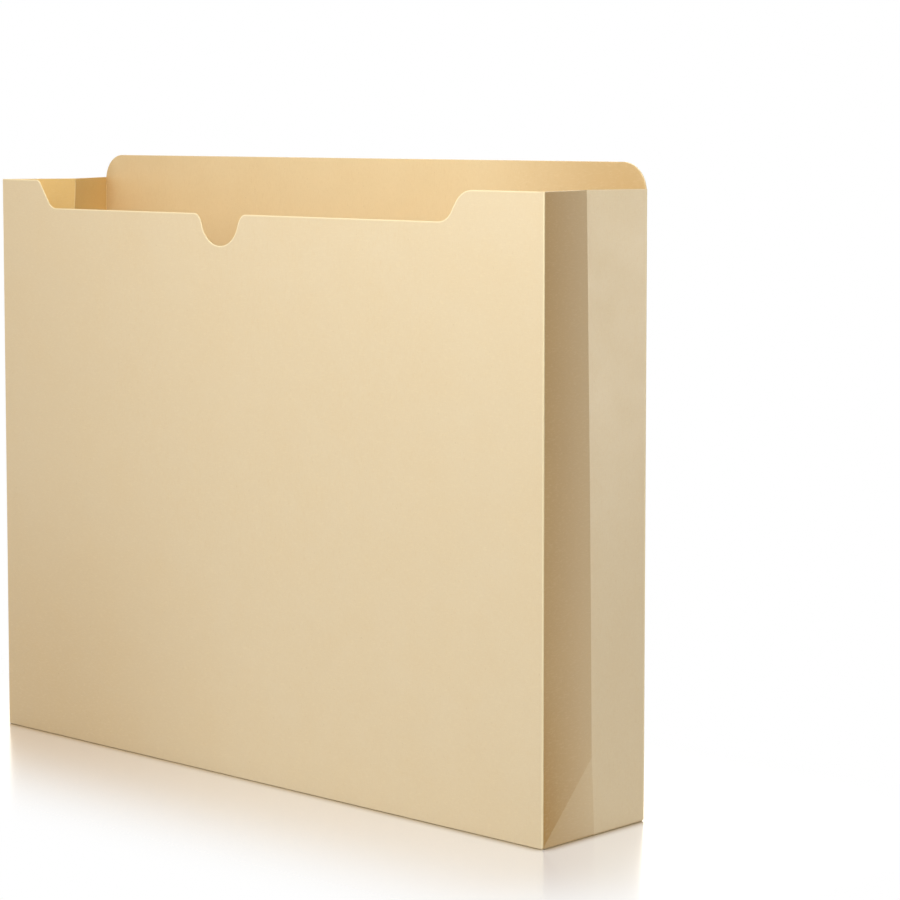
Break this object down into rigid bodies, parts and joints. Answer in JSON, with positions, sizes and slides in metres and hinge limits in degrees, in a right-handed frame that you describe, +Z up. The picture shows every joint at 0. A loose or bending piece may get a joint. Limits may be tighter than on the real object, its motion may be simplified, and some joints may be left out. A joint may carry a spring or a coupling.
{
  "type": "file jacket",
  "caption": "Expanding card file jacket with lowered front edge, thumb notch, raised back tab and creased side and bottom gussets that fold it flat.",
  "frame": {"origin": "middle of the base, on the surface that the jacket stands on", "axes": "+X across the front to the right as seen from the front, +Y from the front panel to the back panel, +Z up"},
  "size_m": [0.2984, 0.0558, 0.2381],
  "materials": {
    "panel_card": "matt manila card, smooth calendered face",
    "gusset_card": "matt manila card, creased",
    "bottom_card": "matt manila card, creased",
    "flap_card": "matt manila card, glued down"
  },
  "bodies": {
    "back": {"back_panel": "panel_card", "tab_second_ply": "flap_card", "left_glue_flap": "flap_card", "right_glue_flap": "flap_card"},
    "right_gusset_rear": {"right_gusset_rear_half": "gusset_card"},
    "right_gusset_front": {"right_gusset_front_half": "gusset_card"},
    "front": {"front_panel": "panel_card"},
    "left_gusset_rear": {"left_gusset_rear_half": "gusset_card"},
    "left_gusset_front": {"left_gusset_front_half": "gusset_card"},
    "bottom_rear": {"bottom_rear_half": "bottom_card"},
    "bottom_front": {"bottom_front_half": "bottom_card"},
    "right_rear_web": {"right_rear_corner_web": "gusset_card"},
    "right_front_web": {"right_front_corner_web": "gusset_card"},
    "left_rear_web": {"left_rear_corner_web": "gusset_card"},
    "left_front_web": {"left_front_corner_web": "gusset_card"}
  },
  "joints": [
    {"name": "jacket_fold", "type": "hinge", "parent": "back", "child": "right_gusset_rear", "pos_m": [0.14894, 0.02721, 0.114], "axis": [0, 0, -1], "range_deg": [0, 90]},
    {"name": "right_gusset_middle_crease", "type": "hinge", "parent": "right_gusset_rear", "child": "right_gusset_front", "pos_m": [0.15004, -0.00016, 0.114], "axis": [0, 0, 1], "range_deg": [0, 180]},
    {"name": "right_front_crease", "type": "hinge", "parent": "right_gusset_front", "child": "front", "pos_m": [0.14894, -0.02754, 0.114], "axis": [0, 0, -1], "range_deg": [0, 90]},
    {"name": "left_rear_crease", "type": "hinge", "parent": "back", "child": "left_gusset_rear", "pos_m": [-0.14894, 0.02721, 0.114], "axis": [0, 0, 1], "range_deg": [0, 90]},
    {"name": "left_front_crease", "type": "hinge", "parent": "front", "child": "left_gusset_front", "pos_m": [-0.14894, -0.02754, 0.114], "axis": [0, 0, -1], "range_deg": [0, 90]},
    {"name": "bottom_rear_crease", "type": "hinge", "parent": "back", "child": "bottom_rear", "pos_m": [0, 0.02644, 0.00028], "axis": [-1, 0, 0], "range_deg": [0, 90]},
    {"name": "bottom_front_crease", "type": "hinge", "parent": "front", "child": "bottom_front", "pos_m": [0, -0.02678, 0.00028], "axis": [1, 0, 0], "range_deg": [0, 90]},
    {"name": "right_rear_web_crease", "type": "hinge", "parent": "bottom_rear", "child": "right_rear_web", "pos_m": [0.14894, 0.013, 0.00038], "axis": [0, -1, 0], "range_deg": [0, 90], "deforming": ["right_rear_corner_web"]},
    {"name": "right_front_web_crease", "type": "hinge", "parent": "bottom_front", "child": "right_front_web", "pos_m": [0.14894, -0.0135, 0.00038], "axis": [0, -1, 0], "range_deg": [0, 90], "deforming": ["right_front_corner_web"]},
    {"name": "left_rear_web_crease", "type": "hinge", "parent": "bottom_rear", "child": "left_rear_web", "pos_m": [-0.14894, 0.013, 0.00038], "axis": [0, 1, 0], "range_deg": [0, 90], "deforming": ["left_rear_corner_web"]},
    {"name": "left_front_web_crease", "type": "hinge", "parent": "bottom_front", "child": "left_front_web", "pos_m": [-0.14894, -0.0135, 0.00038], "axis": [0, 1, 0], "range_deg": [0, 90], "deforming": ["left_front_corner_web"]}
  ],
  "couplings": [
    {"joint": "right_gusset_middle_crease", "follows": "jacket_fold", "ratio": 2},
    {"joint": "right_front_crease", "follows": "jacket_fold", "ratio": 1},
    {"joint": "left_rear_crease", "follows": "jacket_fold", "ratio": 1},
    {"joint": "left_front_crease", "follows": "jacket_fold", "ratio": 1},
    {"joint": "bottom_rear_crease", "follows": "jacket_fold", "ratio": 1},
    {"joint": "bottom_front_crease", "follows": "jacket_fold", "ratio": 1},
    {"joint": "right_rear_web_crease", "follows": "jacket_fold", "ratio": 1},
    {"joint": "right_front_web_crease", "follows": "jacket_fold", "ratio": 1},
    {"joint": "left_rear_web_crease", "follows": "jacket_fold", "ratio": 1},
    {"joint": "left_front_web_crease", "follows": "jacket_fold", "ratio": 1}
  ]
}
